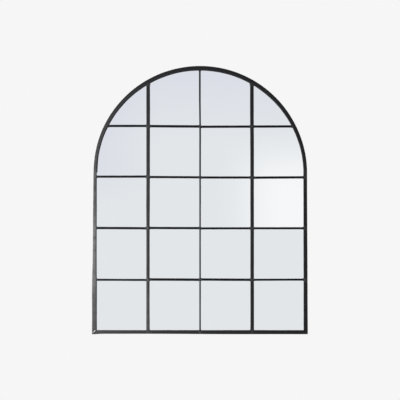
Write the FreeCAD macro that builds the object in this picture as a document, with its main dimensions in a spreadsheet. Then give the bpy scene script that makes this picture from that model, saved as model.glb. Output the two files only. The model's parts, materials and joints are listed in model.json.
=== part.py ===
import FreeCAD, Part
import Sketcher
import math
import os

# Arched window mirror: a welded steel lattice in the shape of an arched window,
# twenty loose mirror panes bedded behind it, a back board and two swinging D-rings.
#
# Frame of the part (millimetres):
#   +X to the right as seen from the room, +Z up, the room is towards -Y.
#   Y = 0 is the wall plane, where the frame's back edges bear.
#   The origin lies on the wall plane, midway between the two hooks that carry the
#   mirror, so the bottom edge is hang_height below it.
# "Deep" below is the distance from the wall plane towards the room, and "high" is
# the height above the mirror's bottom edge.

os.makedirs("parts", exist_ok=True)
doc = FreeCAD.newDocument("arched_window_mirror")

# ---------------------------------------------------------------- driving sizes

DIMENSIONS = [
    # whole object
    ("overall_width", 800.0, "outside width of the head"),
    ("foot_left", 4.0, "left jamb's foot stands out past the head by this much"),
    ("foot_right", 3.0, "right jamb's foot stands out past the head by this much"),
    ("top_left", -1.0, "left jamb's top, the same (it steps in)"),
    ("top_right", 1.0, "right jamb's top, the same"),
    ("overall_height", 1005.0, "outside height, bottom edge to crown"),
    ("overall_depth", 25.0, "wall plane to the front of the frame"),
    ("hang_height", 878.0, "bottom edge to the line of the hooks"),
    # outer frame, an L section
    ("frame_face", 12.5, "width of jambs and head at the spring line"),
    ("crown_extra", 3.6, "how much wider the head is at its crown"),
    ("rail_face", 14.5, "width of the bottom rail seen from the front"),
    ("flange_thick", 3.5, "front flange of the frame and heads of the bars"),
    ("leg_thick", 2.5, "side leg of the frame"),
    ("frame_round", 2.4, "rounding of the frame's front edges"),
    # upright bars, a T section
    ("mullion_offset", 195.0, "thick uprights, distance from the middle"),
    ("mullion_face", 13.0, "thick uprights, width seen from the front"),
    ("mullion_web", 7.0, "thick uprights, web between the panes"),
    ("mullion_round", 2.6, "thick uprights, rounding of the front edges"),
    # centre upright and crossbars, a small T section
    ("bar_face", 8.2, "crossbars, width seen from the front"),
    ("centre_face", 6.4, "centre upright, width seen from the front"),
    ("bar_web", 1.2, "thin bars, web between the panes"),
    ("bar_round", 2.6, "thin bars, rounding of the front edges"),
    ("bar_setback", 0.3, "crossbars, set back behind the uprights"),
    # each crossbar was set by hand, so every one has a height of its own
    ("crossbar_top_left", 780.0, "height of the top row, first column"),
    ("crossbar_top_midleft", 778.7, "height of the top row, second column"),
    ("crossbar_top_midright", 777.3, "height of the top row, third column"),
    ("crossbar_top_right", 778.1, "height of the top row, fourth column"),
    ("crossbar_upper_left", 589.8, "height of the second row, first column"),
    ("crossbar_upper_midleft", 587.8, "height of the second row, second column"),
    ("crossbar_upper_midright", 586.6, "height of the second row, third column"),
    ("crossbar_upper_right", 586.6, "height of the second row, fourth column"),
    ("crossbar_lower_left", 396.7, "height of the third row, first column"),
    ("crossbar_lower_midleft", 397.0, "height of the third row, second column"),
    ("crossbar_lower_midright", 395.9, "height of the third row, third column"),
    ("crossbar_lower_right", 396.2, "height of the third row, fourth column"),
    ("crossbar_bottom_left", 203.0, "height of the bottom row, first column"),
    ("crossbar_bottom_midleft", 204.0, "height of the bottom row, second column"),
    ("crossbar_bottom_midright", 203.8, "height of the bottom row, third column"),
    ("crossbar_bottom_right", 203.6, "height of the bottom row, fourth column"),
    # glazing
    ("tape_thick", 1.5, "bedding tape between ledge and pane"),
    ("tape_inset", 0.2, "tape stands in from the edge of its pane"),
    ("tape_setback", 0.5, "tape hides behind the edge of its bar"),
    ("pane_thick", 3.0, "mirror glass"),
    ("pane_gap", 0.5, "pane to leg or web, each side"),
    # back board
    ("board_thick", 3.0, "back board"),
    ("board_gap", 1.5, "board to leg, each side"),
    ("board_hole", 4.5, "clearance holes in board and straps"),
    # tabs that hold the board
    ("tab_thick", 1.2, "bent tab, sheet"),
    ("tab_width", 12.0, "bent tab, along the frame"),
    ("tab_reach", 11.5, "bent tab, from the leg over the board"),
    # screws
    ("screw_shank", 3.9, "shank diameter"),
    ("screw_head", 8.0, "pan head diameter"),
    ("screw_head_high", 2.4, "pan head height"),
    ("screw_hole", 4.0, "hole in the web of the uprights"),
    ("screw_hole_deep", 6.0, "depth of that hole"),
    ("board_screw_long", 8.0, "shank length, board screws"),
    ("strap_screw_long", 10.0, "shank length, strap screws"),
    ("board_screw_low", 110.0, "height of the lowest board screws"),
    ("board_screw_middle", 300.0, "height of the next board screws"),
    ("board_screw_upper", 490.0, "height of the next board screws"),
    ("board_screw_top", 680.0, "height of the highest board screws"),
    # hangers
    ("strap_wide", 18.0, "hanger strap width"),
    ("strap_thick", 1.5, "hanger strap sheet"),
    ("strap_long", 62.0, "hanger strap, eye to tail"),
    ("strap_corner", 6.0, "rounding of the strap's tail"),
    ("strap_screw_near", 30.0, "first screw, below the eye"),
    ("strap_screw_far", 50.0, "second screw, below the eye"),
    ("eye_bore", 3.6, "bore of the rolled eye"),
    ("eye_drop", 16.0, "line of the hooks down to the eye"),
    ("ring_wire", 3.0, "wire diameter of the D-ring"),
    ("ring_width", 27.0, "D-ring width between wire centres"),
    ("ring_corner", 4.0, "D-ring corner radius at the wire centre"),
]

sheet = doc.addObject("Spreadsheet::Sheet", "Sizes")
sheet.set("A1", "dimension")
sheet.set("B1", "millimetres")
sheet.set("C1", "what it is")
for i, (alias, value, words) in enumerate(DIMENSIONS):
    row = i + 2
    sheet.set("A%d" % row, alias)
    sheet.set("B%d" % row, "%g" % value)
    sheet.setAlias("B%d" % row, alias)
    sheet.set("C%d" % row, words)
doc.recompute()


class Length:
    """A length that knows its value and the sheet formula that gives it."""

    def __init__(self, value, text):
        self.value = float(value)
        self.text = text

    def __add__(self, other):
        other = length(other)
        return Length(self.value + other.value, "(%s + %s)" % (self.text, other.text))

    def __sub__(self, other):
        other = length(other)
        return Length(self.value - other.value, "(%s - %s)" % (self.text, other.text))

    def __mul__(self, factor):
        return Length(self.value * factor, "(%s * %g)" % (self.text, factor))

    def __truediv__(self, factor):
        return Length(self.value / factor, "(%s / %g)" % (self.text, factor))

    def __neg__(self):
        return Length(-self.value, "(0 - %s)" % self.text)


def length(thing):
    if isinstance(thing, Length):
        return thing
    return Length(thing, "%g" % thing)


def size(alias):
    return Length(float(sheet.get(alias)), "Sizes.%s" % alias)


width = size("overall_width")
half = width / 2
height = size("overall_height")
depth = size("overall_depth")
spring = height - half                    # centre of the semicircular head
face = size("frame_face")
flange = size("flange_thick")
leg = size("leg_thick")
mullion = size("mullion_offset")
gap = size("pane_gap")
rail = size("rail_face")
inner_radius = half - face                # inner edge of the head, struck from a
inner_centre = spring - size("crown_extra")   # lower centre: the crown is broader
crossbars = [[size("crossbar_%s_%s" % (row, col))
              for col in ("left", "midleft", "midright", "right")]
             for row in ("top", "upper", "lower", "bottom")]

# layers, as distances deep from the wall plane
ledge_deep = depth - flange                        # back of the flange and heads
pane_front = ledge_deep - size("tape_thick")
pane_back = pane_front - size("pane_thick")        # and back of the webs
board_back = pane_back - size("board_thick")


# ---------------------------------------------------------------- small helpers

def bind(obj, prop, value):
    obj.setExpression(prop, length(value).text)


def new_body(label):
    """A body drawn in heights above the bottom edge, set down by hang_height."""
    body = doc.addObject("PartDesign::Body", label)
    body.Label = label
    bind(body, "Placement.Base.z", -size("hang_height"))
    return body


def plane(body, role):
    for feature in body.Origin.OriginFeatures:
        if feature.Role == role:
            return feature
    raise RuntimeError("no plane " + role)


def new_sketch(body, name, role, offset=0.0):
    """A sketch on one of the body's own planes, moved along the plane's normal."""
    sketch = body.newObject("Sketcher::SketchObject", name)
    sketch.AttachmentSupport = [(plane(body, role), "")]
    sketch.MapMode = "FlatFace"
    bind(sketch, "AttachmentOffset.Base.z", offset)
    return sketch


def pin(sketch, kind, geo, pos, value):
    """Fix one coordinate of a point, as a formula of the sheet."""
    value = length(value)
    index = sketch.addConstraint(
        Sketcher.Constraint(kind, -1, 1, geo, pos, value.value))
    sketch.setExpression("Constraints[%d]" % index, value.text)


def draw(sketch, corners, arcs=()):
    """A closed outline. corners are (u, v, (guess_u, guess_v)); a coordinate that is
    None follows from the arc that the corner lies on. arcs maps the number of a side
    to (centre_u, centre_v, radius, counterclockwise); other sides are straight."""
    arcs = dict(arcs)
    points = []
    for u, v, guess in corners:
        gu = length(u).value if u is not None else guess[0]
        gv = length(v).value if v is not None else guess[1]
        points.append(FreeCAD.Vector(gu, gv, 0))
    ends = []
    count = len(points)
    for i in range(count):
        a, b = points[i], points[(i + 1) % count]
        if i in arcs:
            cu, cv, radius, ccw = arcs[i]
            cu, cv, radius = length(cu), length(cv), length(radius)
            centre = FreeCAD.Vector(cu.value, cv.value, 0)
            first, last = (a, b) if ccw else (b, a)
            start = math.atan2(first.y - centre.y, first.x - centre.x)
            stop = math.atan2(last.y - centre.y, last.x - centre.x)
            if stop <= start:
                stop += 2 * math.pi
            circle = Part.Circle(centre, FreeCAD.Vector(0, 0, 1), radius.value)
            geo = sketch.addGeometry(Part.ArcOfCircle(circle, start, stop), False)
            ends.append((geo, 1, 2) if ccw else (geo, 2, 1))
            # ends that are given in full leave less of the arc to fix
            full = sum(1 for k in (i, (i + 1) % count)
                       if corners[k][0] is not None and corners[k][1] is not None)
            pin(sketch, "DistanceY", geo, 3, cv)
            if full < 2:
                pin(sketch, "DistanceX", geo, 3, cu)
            if full < 1:
                index = sketch.addConstraint(
                    Sketcher.Constraint("Radius", geo, radius.value))
                sketch.setExpression("Constraints[%d]" % index, radius.text)
        else:
            geo = sketch.addGeometry(Part.LineSegment(a, b), False)
            ends.append((geo, 1, 2))
    for i in range(count):
        geo, start, end = ends[i]
        nxt = ends[(i + 1) % count]
        sketch.addConstraint(
            Sketcher.Constraint("Coincident", geo, end, nxt[0], nxt[1]))
    for i, (u, v, guess) in enumerate(corners):
        geo, start, end = ends[i]
        if u is not None:
            pin(sketch, "DistanceX", geo, start, u)
        if v is not None:
            pin(sketch, "DistanceY", geo, start, v)


def corner(u, v):
    return (u, v, None)


def box_outline(left, right, low, high):
    return [corner(left, low), corner(right, low), corner(right, high),
            corner(left, high)]


def draw_circle(sketch, cu, cv, diameter):
    cu, cv, radius = length(cu), length(cv), length(diameter) / 2
    geo = sketch.addGeometry(Part.Circle(FreeCAD.Vector(cu.value, cv.value, 0),
                                         FreeCAD.Vector(0, 0, 1), radius.value), False)
    pin(sketch, "DistanceX", geo, 3, cu)
    pin(sketch, "DistanceY", geo, 3, cv)
    index = sketch.addConstraint(Sketcher.Constraint("Radius", geo, radius.value))
    sketch.setExpression("Constraints[%d]" % index, radius.text)


def pad(body, sketch, name, amount, midplane=False, reverse=False):
    feature = body.newObject("PartDesign::Pad", name)
    feature.Profile = sketch
    bind(feature, "Length", amount)
    if midplane:
        feature.SideType = "Symmetric"
    feature.Reversed = reverse
    body.Tip = feature
    doc.recompute()
    return feature


def pocket(body, sketch, name, amount=None, reverse=False, both=False):
    """Cut the sketch out of the body, and make sure that it does cut."""
    before = body.Shape.Volume
    feature = body.newObject("PartDesign::Pocket", name)
    feature.Profile = sketch
    if amount is None:
        feature.Type = "ThroughAll"
    else:
        bind(feature, "Length", amount)
    if both:
        feature.SideType = "Symmetric"
    feature.Reversed = reverse
    body.Tip = feature
    doc.recompute()
    if not feature.Shape.Volume < before - 0.01:
        raise RuntimeError("%s in %s cuts nothing" % (name, body.Label))
    return feature


def round_edges(body, base, name, radius, wanted):
    """Round the edges of the last feature for which wanted(edge) is true."""
    names = []
    for i, edge in enumerate(base.Shape.Edges):
        if wanted(edge):
            names.append("Edge%d" % (i + 1))
    if not names:
        raise RuntimeError("no edges to round in " + body.Label)
    feature = body.newObject("PartDesign::Fillet", name)
    feature.Base = (base, names)
    bind(feature, "Radius", radius)
    body.Tip = feature
    doc.recompute()
    return feature


def front_edge(deep, at_least=5.0):
    """Edges that lie wholly at this distance deep, and are long."""
    def wanted(edge):
        box = edge.BoundBox
        return (abs(box.YMin + deep) < 1e-4 and abs(box.YMax + deep) < 1e-4
                and edge.Length > at_least)
    return wanted


subparts = []


def keep(obj):
    subparts.append(obj)
    return obj


# ---------------------------------------------------------------- outer frame

def jamb(label, side, foot, top):
    """An L-section upright: front flange and side leg. Its outer face leans out
    towards the foot, and the foot is mitred from outer to inner corner."""
    outer = (half + foot) * side
    upper = (half + top) * side
    inner = (half - face) * side
    leg_in = (half - leg) * side
    body = new_body(label)
    sketch = new_sketch(body, label + "_section", "XY_Plane", 0)
    draw(sketch, [corner(outer, 0), corner(leg_in, 0), corner(leg_in, -ledge_deep),
                  corner(inner, -ledge_deep), corner(inner, -depth),
                  corner(outer, -depth)])
    pad(body, sketch, label + "_bar", spring)
    lean = new_sketch(body, label + "_lean", "XZ_Plane", 0)
    draw(lean, [corner(outer, 0), corner(upper, spring), corner(upper, spring + 5),
                corner((half + foot + 3) * side, spring + 5),
                corner((half + foot + 3) * side, 0)])
    bar = pocket(body, lean, label + "_lean_cut", both=True)
    front = depth.value

    def wanted(edge):
        box = edge.BoundBox
        return (abs(box.YMin + front) < 1e-4 and abs(box.YMax + front) < 1e-4
                and box.ZLength > 100)
    round_edges(body, bar, label + "_rounding", size("frame_round"), wanted)
    cut = new_sketch(body, label + "_mitre", "XZ_Plane", 0)
    draw(cut, [corner(outer, 0), corner(inner, rail), corner(inner - 2 * side, rail),
               corner(inner - 2 * side, -2), corner(outer, -2)])
    pocket(body, cut, label + "_mitre_cut", both=True)
    return keep(body)


jamb("frame_left_jamb", -1, size("foot_left"), size("top_left"))
jamb("frame_right_jamb", 1, size("foot_right"), size("top_right"))

# bottom rail: the same L section lying down, mitred at both ends
body = new_body("frame_bottom_rail")
rail_left = -half - size("foot_left")
rail_right = half + size("foot_right")
sketch = new_sketch(body, "rail_section", "YZ_Plane", rail_left)
draw(sketch, [corner(0, 0), corner(0, leg), corner(-ledge_deep, leg),
              corner(-ledge_deep, rail), corner(-depth, rail), corner(-depth, 0)])
bar = pad(body, sketch, "rail_bar", rail_right - rail_left)
rounded = round_edges(body, bar, "rail_rounding", size("frame_round"),
                      front_edge(depth.value, 100.0))
for side, name, outer in ((-1, "left", rail_left), (1, "right", rail_right)):
    cut = new_sketch(body, "rail_mitre_" + name, "XZ_Plane", 0)
    draw(cut, [corner(outer, 0), corner((half - face) * side, rail),
               corner((half - face) * side, rail + 2), corner(outer + 2 * side, rail + 2),
               corner(outer + 2 * side, 0)])
    pocket(body, cut, "rail_mitre_cut_" + name, both=True)
keep(body)

# head: an L section rolled to a semicircle, its flange broadest at the crown
body = new_body("frame_arch")
sketch = new_sketch(body, "arch_leg", "XZ_Plane", 0)
draw(sketch, [corner(half, spring), corner(-half, spring), corner(-half + leg, spring),
              corner(half - leg, spring)],
     {0: (0, spring, half, True), 2: (0, spring, half - leg, False)})
pad(body, sketch, "arch_leg_band", ledge_deep)
sketch = new_sketch(body, "arch_flange", "XZ_Plane", ledge_deep)
near = math.sqrt(inner_radius.value ** 2 - size("crown_extra").value ** 2)
draw(sketch, [corner(half, spring), corner(-half, spring),
              (None, spring, (-near, spring.value)), (None, spring, (near, spring.value))],
     {0: (0, spring, half, True), 2: (0, inner_centre, inner_radius, False)})
turn = pad(body, sketch, "arch_flange_band", flange)
round_edges(body, turn, "arch_rounding", size("frame_round"),
            front_edge(depth.value, 300.0))
keep(body)


# ---------------------------------------------------------------- bars

def tee(sketch, across, head, web, lead, upright):
    """A T section: head in front, web between the panes. across is the middle of
    the bar, lead is how far deep the front of the head lies."""
    def at(a, d):
        return corner(a, -d) if upright else corner(-d, a)
    draw(sketch, [at(across - head / 2, lead), at(across + head / 2, lead),
                  at(across + head / 2, ledge_deep), at(across + web / 2, ledge_deep),
                  at(across + web / 2, pane_back), at(across - web / 2, pane_back),
                  at(across - web / 2, ledge_deep), at(across - head / 2, ledge_deep)])


def trim_to_arch(body, name, left, right, low, high, inward):
    """Cut away what reaches past the inner edge of the head's flange."""
    radius = inner_radius
    cut = new_sketch(body, name, "XZ_Plane", 0)
    r, c = radius.value, inner_centre.value
    if inward == "top":
        # arc between two given distances across, then up over the end of the bar
        def rise(x):
            return c + math.sqrt(r * r - x * x)
        draw(cut, [(right, None, (0, rise(right.value))),
                   (left, None, (0, rise(left.value))),
                   corner(left, high), corner(right, high)],
             {0: (0, inner_centre, radius, True)})
    else:
        side = 1 if inward == "right" else -1

        def out(z):
            return side * math.sqrt(r * r - (z - c) ** 2)
        if side > 0:
            draw(cut, [(None, low, (out(low.value), 0)),
                       (None, high, (out(high.value), 0)),
                       corner(right, high), corner(right, low)],
                 {0: (0, inner_centre, radius, True)})
        else:
            draw(cut, [(None, high, (out(high.value), 0)),
                       (None, low, (out(low.value), 0)),
                       corner(left, low), corner(left, high)],
                 {0: (0, inner_centre, radius, True)})
    pocket(body, cut, name + "_cut", both=True)


def upright(label, across, head, web, rounding, screw_heights):
    body = new_body(label)
    sketch = new_sketch(body, label + "_section", "XY_Plane", rail)
    tee(sketch, across, head, web, depth, True)
    bar = pad(body, sketch, label + "_bar", height - rail)

    def wanted(edge):
        box = edge.BoundBox
        return (abs(box.YMin + depth.value) < 1e-4 and abs(box.YMax + depth.value) < 1e-4
                and box.ZLength > 100)
    round_edges(body, bar, label + "_rounding", rounding, wanted)
    trim_to_arch(body, label + "_top", across - 10, across + 10, None, height + 1, "top")
    if screw_heights:
        holes = new_sketch(body, label + "_screw_holes", "XZ_Plane", pane_back)
        for high in screw_heights:
            draw_circle(holes, across, high, size("screw_hole"))
        pocket(body, holes, label + "_screw_holes_cut", size("screw_hole_deep"),
               reverse=True)
    return keep(body)


eye_height = size("hang_height") - size("eye_drop")
board_screws = [size("board_screw_low"), size("board_screw_middle"),
                size("board_screw_upper"), size("board_screw_top")]
strap_screws = [eye_height - size("strap_screw_near"),
                eye_height - size("strap_screw_far")]
all_screws = board_screws + strap_screws

upright("mullion_left", -mullion, size("mullion_face"), size("mullion_web"),
        size("mullion_round"), all_screws)
upright("mullion_right", mullion, size("mullion_face"), size("mullion_web"),
        size("mullion_round"), all_screws)
upright("mullion_centre", length(0), size("centre_face"), size("bar_web"),
        size("bar_round"), [])


def crossbar(label, left, right, high, end):
    """A short T-section crossbar between two uprights. end says which end, if
    either, meets the head and is cut to its curve."""
    body = new_body(label)
    over = 12.0
    start = left - over if end == "left" else left
    stop = right + over if end == "right" else right
    sketch = new_sketch(body, label + "_section", "YZ_Plane", start)
    lead = depth - size("bar_setback")
    tee(sketch, high, size("bar_face"), size("bar_web"), lead, False)
    bar = pad(body, sketch, label + "_bar", stop - start)
    round_edges(body, bar, label + "_rounding", size("bar_round"),
                front_edge(lead.value, 20.0))
    if end:
        trim_to_arch(body, label + "_end", start - 1, stop + 1, high - 6, high + 6, end)
    return keep(body)


thin = size("centre_face") / 2
thick = size("mullion_face") / 2
reach = half - face
for r, heights in enumerate(crossbars):
    row = r + 1
    for col, high in enumerate(heights, 1):
        curved = high.value > spring.value
        outer = reach
        if curved:
            rise = high.value - inner_centre.value
            # nominal: the end is cut to the curve
            outer = length(round(math.sqrt(inner_radius.value ** 2 - rise ** 2), 1))
        left, right, end = {1: (-outer, -mullion - thick, "left"),
                            2: (-mullion + thick, -thin, None),
                            3: (thin, mullion - thick, None),
                            4: (mullion + thick, outer, "right")}[col]
        crossbar("crossbar_row%d_col%d" % (row, col), left, right, high,
                 end if curved else None)


# ---------------------------------------------------------------- panes and tapes

def outline(row, col, rail_edge, radius, centre, mullion_edge, bar_edge,
            centre_edge):
    """The outline of one pane, or of its tape. rail_edge is the height of the
    lowest edge, radius and centre give the curve of the head (and radius the jamb),
    mullion_edge, bar_edge and centre_edge the distance from the middle of a thick
    upright, of a crossbar and of the centre upright."""
    side = -1 if col in (1, 2) else 1
    if col in (1, 4):
        far, near = radius, mullion + mullion_edge
    else:
        far, near = mullion - mullion_edge, centre_edge
    low = rail_edge if row == 5 else crossbars[row - 1][col - 1] + bar_edge
    high = None if row == 1 else crossbars[row - 2][col - 1] - bar_edge
    r, c = radius.value, centre.value

    def rise(x):
        return c + math.sqrt(r * r - x * x)

    def out(z):
        return math.sqrt(r * r - (z - c) ** 2)

    # drawn for the right-hand side, then turned over for the left
    arc = (0, centre, radius)
    if row == 1 and col in (1, 4):
        pts = [(near, low, None), (None, low, (out(low.value), 0)),
               (near, None, (0, rise(near.value)))]
        arcs = {1: arc}
    elif row == 1:
        pts = [(near, low, None), (far, low, None),
               (far, None, (0, rise(far.value))), (near, None, (0, rise(near.value)))]
        arcs = {2: arc}
    elif row == 2 and col in (1, 4):
        pts = [(near, low, None), (far, low, None), (far, centre, None),
               (None, high, (out(high.value), 0)), (near, high, None)]
        arcs = {2: arc}
    else:
        pts = [(near, low, None), (far, low, None), (far, high, None),
               (near, high, None)]
        arcs = {}
    if side > 0:
        return pts, {k: v + (True,) for k, v in arcs.items()}
    flipped = []
    for u, v, guess in reversed(pts):
        flipped.append((-u if u is not None else None, v,
                        (-guess[0], guess[1]) if guess else None))
    count = len(pts)
    turned = {(count - 2 - k) % count: v + (True,) for k, v in arcs.items()}
    return flipped, turned


tape_bodies = []
for row in range(1, 6):
    for col in range(1, 5):
        label = "pane_row%d_col%d" % (row, col)
        body = new_body(label)
        sketch = new_sketch(body, label + "_outline", "XZ_Plane", pane_back)
        pts, arcs = outline(row, col, leg + gap, half - leg - gap, spring,
                            size("mullion_web") / 2 + gap, size("bar_web") / 2 + gap,
                            size("bar_web") / 2 + gap)
        draw(sketch, pts, arcs)
        pad(body, sketch, label + "_glass", size("pane_thick"))
        keep(body)

        label = "tape_row%d_col%d" % (row, col)
        tape = new_body(label)
        sketch = new_sketch(tape, label + "_outline", "XZ_Plane", pane_front)
        inset = size("tape_inset")
        back = size("tape_setback")
        pts, arcs = outline(row, col, leg + gap + inset, half - leg - gap - inset,
                            spring, size("mullion_web") / 2 + gap + inset,
                            size("bar_web") / 2 + gap + inset,
                            size("bar_web") / 2 + gap + inset)
        draw(sketch, pts, arcs)
        pts, arcs = outline(row, col, rail - back, inner_radius + back, inner_centre,
                            size("mullion_face") / 2 - back, size("bar_face") / 2 - back,
                            size("centre_face") / 2 - back)
        draw(sketch, pts, arcs)
        pad(tape, sketch, label + "_strip", size("tape_thick"))
        tape_bodies.append(tape)

tapes = doc.addObject("Part::Compound", "glazing_tapes")
tapes.Label = "glazing_tapes"
tapes.Links = tape_bodies
keep(tapes)


# ---------------------------------------------------------------- back board

body = new_body("back_board")
sketch = new_sketch(body, "board_outline", "XZ_Plane", board_back)
edge = leg + size("board_gap")
board_r = half - edge
draw(sketch, [corner(-board_r, edge), corner(board_r, edge), corner(board_r, spring),
              corner(-board_r, spring)], {2: (0, spring, board_r, True)})
pad(body, sketch, "board_sheet", size("board_thick"))
holes = new_sketch(body, "board_holes", "XZ_Plane", board_back)
for side in (-1, 1):
    for high in all_screws:
        draw_circle(holes, mullion * side, high, size("board_hole"))
pocket(body, holes, "board_holes_cut", size("board_thick"), reverse=True)
keep(body)


# ---------------------------------------------------------------- tabs

def group(label, template, placements):
    """Several copies of one piece, each a separate solid of one node."""
    links = []
    for i, place in enumerate(placements):
        link = doc.addObject("App::Link", "%s_%d" % (label, i + 1))
        link.LinkedObject = template
        link.LinkTransform = False
        link.Placement = place
        links.append(link)
    compound = doc.addObject("Part::Compound", label)
    compound.Label = label
    compound.Links = links
    return keep(compound)


# one tab, drawn for the right-hand jamb: its leg is spot-welded beside the board
# and its lip is bent over the board. Its own origin is on the leg's outer face.
tab = doc.addObject("PartDesign::Body", "tab_template")
sketch = new_sketch(tab, "tab_section", "XY_Plane", 0)
lip_deep = board_back - size("tab_thick")
draw(sketch, [corner(0, -pane_back), corner(0, -lip_deep),
              corner(-size("tab_reach"), -lip_deep),
              corner(-size("tab_reach"), -board_back),
              corner(-size("tab_thick"), -board_back),
              corner(-size("tab_thick"), -pane_back)])
bent = pad(tab, sketch, "tab_strip", size("tab_width"), midplane=True)


def outer_bend(edge):
    box = edge.BoundBox
    return (abs(box.XMin) < 1e-4 and abs(box.XMax) < 1e-4 and box.ZLength > 5
            and abs(box.YMin + lip_deep.value) < 1e-4)


round_edges(tab, bent, "tab_bend", 1.0, outer_bend)

drop = -size("hang_height").value
inner_face = (half - leg).value - 0.05      # clear of the curve of the head
turns = []
for high in (100.0, 300.0, 500.0):
    turns.append((inner_face, high, 0.0))
    turns.append((-inner_face, high, 180.0))
for across in (-270.0, 0.0, 270.0):
    turns.append((across, leg.value + 0.05, 90.0))
for angle in (20.0, 55.0, 90.0, 125.0, 160.0):
    a = math.radians(angle)
    turns.append((inner_face * math.cos(a), spring.value + inner_face * math.sin(a),
                  -angle))
places = [FreeCAD.Placement(FreeCAD.Vector(x, 0, high + drop),
                            FreeCAD.Rotation(FreeCAD.Vector(0, 1, 0), angle))
          for x, high, angle in turns]
group("board_tabs", tab, places)


# ---------------------------------------------------------------- screws

def screw(name, shank_long):
    """A pan-head screw along Y: its head stands towards the wall, its own origin is
    under the head. The drive recess is a cross."""
    body = doc.addObject("PartDesign::Body", name)
    sketch = new_sketch(body, name + "_profile", "XY_Plane", 0)
    head = size("screw_head") / 2
    shank = size("screw_shank") / 2
    high = size("screw_head_high")
    tip = shank_long
    draw(sketch, [corner(0, -tip), corner(shank - 0.6, -tip),
                  corner(shank, -(tip - 0.6)), corner(shank, 0), corner(head, 0),
                  corner(head, high * 0.35), corner(head - 1.2, high * 0.85),
                  corner(head - 2.4, high), corner(0, high)])
    turn = body.newObject("PartDesign::Revolution", name + "_turned")
    turn.Profile = sketch
    turn.ReferenceAxis = (sketch, ["V_Axis"])
    turn.Angle = 360
    body.Tip = turn
    doc.recompute()
    cross = new_sketch(body, name + "_recess", "XZ_Plane", -high)
    arm, broad = 2.1, 0.45
    draw(cross, [corner(-arm, -broad), corner(-broad, -broad), corner(-broad, -arm),
                 corner(broad, -arm), corner(broad, -broad), corner(arm, -broad),
                 corner(arm, broad), corner(broad, broad), corner(broad, arm),
                 corner(-broad, arm), corner(-broad, broad), corner(-arm, broad)])
    pocket(body, cross, name + "_recess_cut", 1.5, reverse=True)
    return body


board_screw = screw("board_screw_template", size("board_screw_long"))
strap_screw = screw("strap_screw_template", size("strap_screw_long"))
twist = 0.0
places = []
for side in (-1, 1):
    for high in board_screws:
        twist += 37.0
        turn = FreeCAD.Rotation(FreeCAD.Vector(0, 1, 0), twist)
        places.append(FreeCAD.Placement(FreeCAD.Vector(
            side * mullion.value, -board_back.value, high.value + drop), turn))
group("board_screws", board_screw, places)
places = []
for side in (-1, 1):
    for high in strap_screws:
        twist += 37.0
        turn = FreeCAD.Rotation(FreeCAD.Vector(0, 1, 0), twist)
        places.append(FreeCAD.Placement(FreeCAD.Vector(
            side * mullion.value, -(board_back - size("strap_thick")).value,
            high.value + drop), turn))
group("hanger_screws", strap_screw, places)


# ---------------------------------------------------------------- hangers

strap = size("strap_thick")
eye_inner = size("eye_bore") / 2
eye_outer = eye_inner + strap
eye_deep = board_back - eye_outer           # the rolled eye lies on the board


def hanger_strap(label, side):
    """A flat strap with its upper end rolled into an eye."""
    across = mullion * side
    body = new_body(label)
    sketch = new_sketch(body, label + "_side", "YZ_Plane", across)
    draw(sketch, [corner(-board_back, eye_height - size("strap_long")),
                  corner(-(board_back - strap), eye_height - size("strap_long")),
                  corner(-(board_back - strap), eye_height),
                  corner(-board_back, eye_height)])
    flat = pad(body, sketch, label + "_flat", size("strap_wide"), midplane=True)

    def tail(edge):
        box = edge.BoundBox
        return (box.YLength > 1.0 and box.XLength < 1e-4 and box.ZLength < 1e-4
                and box.ZMax < eye_height.value - size("strap_long").value + 1)
    round_edges(body, flat, label + "_tail", size("strap_corner"), tail)
    sketch = new_sketch(body, label + "_eye_section", "YZ_Plane", across)
    draw_circle(sketch, -eye_deep, eye_height, eye_outer * 2)
    draw_circle(sketch, -eye_deep, eye_height, eye_inner * 2)
    pad(body, sketch, label + "_eye", size("strap_wide"), midplane=True)
    holes = new_sketch(body, label + "_holes", "XZ_Plane", board_back)
    for high in strap_screws:
        draw_circle(holes, across, high, size("board_hole"))
    pocket(body, holes, label + "_holes_cut", both=True)
    return keep(body)


hanger_strap("hanger_strap_left", -1)
hanger_strap("hanger_strap_right", 1)


def hanger_ring(label, side):
    """A D of round wire. Its straight bar turns in the eye, its bow hangs down."""
    across = mullion * side
    body = new_body(label)
    rw = size("ring_width") / 2
    rc = size("ring_corner")
    path = new_sketch(body, label + "_path", "XZ_Plane", eye_deep)
    # bar, corner, bow, corner: every piece runs on smoothly into the next
    draw(path, [corner(across - rw + rc, eye_height), corner(across + rw - rc, eye_height),
                corner(across + rw, eye_height - rc), corner(across - rw, eye_height - rc)],
         {1: (across + rw - rc, eye_height - rc, rc, False),
          2: (across, eye_height - rc, rw, False),
          3: (across - rw + rc, eye_height - rc, rc, False)})
    wire = new_sketch(body, label + "_wire", "YZ_Plane", across)
    draw_circle(wire, -eye_deep, eye_height, size("ring_wire"))
    doc.recompute()
    pipe = body.newObject("PartDesign::AdditivePipe", label + "_bent")
    pipe.Profile = wire
    pipe.Spine = (path, [])
    body.Tip = pipe
    doc.recompute()
    return keep(body)


hanger_ring("hanger_ring_left", -1)
hanger_ring("hanger_ring_right", 1)


# ---------------------------------------------------------------- check and write

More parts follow.
